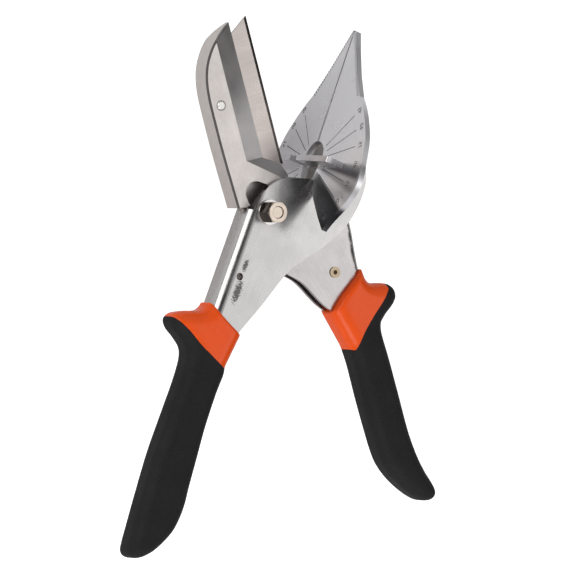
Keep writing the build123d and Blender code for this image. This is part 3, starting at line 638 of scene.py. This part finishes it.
make_handle("anvil", "anvil_side", anvil_ray, anvil_mouth, anvil_flank, anvil_parting, clear=30)
make_handle("blade", "blade_side", blade_ray, blade_mouth, blade_flank, blade_parting, clear=-30)

# %% [markdown]
# The scale on the table is cut into the steel and filled with dark paint. Each ray is one
# thin bar that lies a little below the face. The slot line and the ticks along the outer
# edges stand a hair above it, and so do the numbers, which are plain text made into a mesh.

# %% Face of the table
def wing_matrix(side, along, out):
    """Matrix of a spot on a wing, in mm: X along the slot, Y out along the wing, Z off the face."""
    outward = Vector((0, 0, side)) * cos(lean) + behind * sin(lean)
    off = -behind * cos(lean) + Vector((0, 0, side)) * sin(lean)
    matrix = Matrix((slot_run, outward, off)).transposed().to_4x4()
    matrix.translation = table_centre + (slot_run * along + outward * out) * MM
    return matrix


def turned(degrees):
    """Matrix of a turn in the face."""
    return Matrix.Rotation(radians(degrees), 4, "Z")


def moved(along, lift=0):
    """Matrix of a move in mm."""
    return Matrix.Translation((along * MM, 0, lift * MM))


def join_pieces(name, parts):
    """Join parts to one mesh at the origin."""
    bpy.ops.object.select_all(action="DESELECT")
    for part in parts:
        part.select_set(True)
    bpy.context.view_layer.objects.active = parts[0]
    bpy.ops.object.join()
    joined = bpy.context.active_object
    joined.name = name
    bpy.ops.object.transform_apply(location=True, rotation=True, scale=True)
    return joined


def bar(matrix, length, width, low, high):
    """Thin bar along X of a matrix, between two heights, in mm."""
    bpy.ops.object.select_all(action="DESELECT")
    bpy.ops.mesh.primitive_cube_add(size=1)
    piece = bpy.context.active_object
    for vertex in piece.data.vertices:
        x, y, z = vertex.co
        vertex.co = matrix @ (Vector((x * length, y * width, low if z < 0 else high)) * MM)
    return piece


def number(matrix, text, size, thickness):
    """Plain number in the plane of a matrix, in mm."""
    bpy.ops.object.select_all(action="DESELECT")
    bpy.ops.object.text_add()
    label = bpy.context.active_object
    label.data.body = text
    label.data.size = size * MM
    label.data.align_x, label.data.align_y = "CENTER", "CENTER"
    label.data.extrude = thickness * MM
    bpy.ops.object.convert(target="MESH")
    label.data.transform(matrix)
    return label


# %% Rays, slot line, ticks and numbers
ray_angles = (45, 60, 75, 105, 120, 135)
ray_middle, slot_line_middle, number_reach = 19.5, 41.0, 32.2
edge_start, edge_run = (57.3, 1.5), (-27.8, 17.8)
ticks, tick_turn, tick_inset = 26, 57.4, 1.5
skin = 0.02

marks = []
for side in (1, -1):
    for angle in ray_angles:
        ray = wing_matrix(side, 0, 0) @ turned(angle) @ moved(ray_middle)
        marks.append(bar(ray, length=19.0, width=0.33, low=-0.15, high=-0.03))
marks.append(bar(wing_matrix(1, slot_line_middle, 0), length=31.0, width=0.3, low=-0.1, high=skin))
for side in (1, -1):
    for index in range(ticks):
        step = (index + 0.5) / ticks
        along, out = (start + run * step for start, run in zip(edge_start, edge_run))
        tick = wing_matrix(side, along, out) @ turned(tick_turn) @ moved(-tick_inset)
        marks.append(bar(tick, length=1.4, width=0.3, low=-0.05, high=0.03))
for side in (1, -1):
    for angle in sorted((*ray_angles, 90)):
        flip = Matrix.Scale(side, 4, (1, 0, 0))
        spot = wing_matrix(side, 0, 0) @ turned(angle) @ moved(number_reach, skin) @ turned(-90) @ flip
        marks.append(number(spot, str(90 - abs(90 - angle)), size=3.0, thickness=skin))

scale_paint, tree, base = new_finish("scale_paint")
base.inputs["Roughness"].default_value = 0.6
dust = effect(tree, cloud_group, Vector=coordinates(tree, "Object"), Scale=400, Low=0.02, High=0.12)
feed(tree, base.inputs["Base Color"], dust)
scale_marks = join_pieces("scale_marks", marks)
wear_only(scale_marks, scale_paint)
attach(scale_marks, "anvil_side")
print("scale_marks", len(scale_marks.data.polygons), "faces")
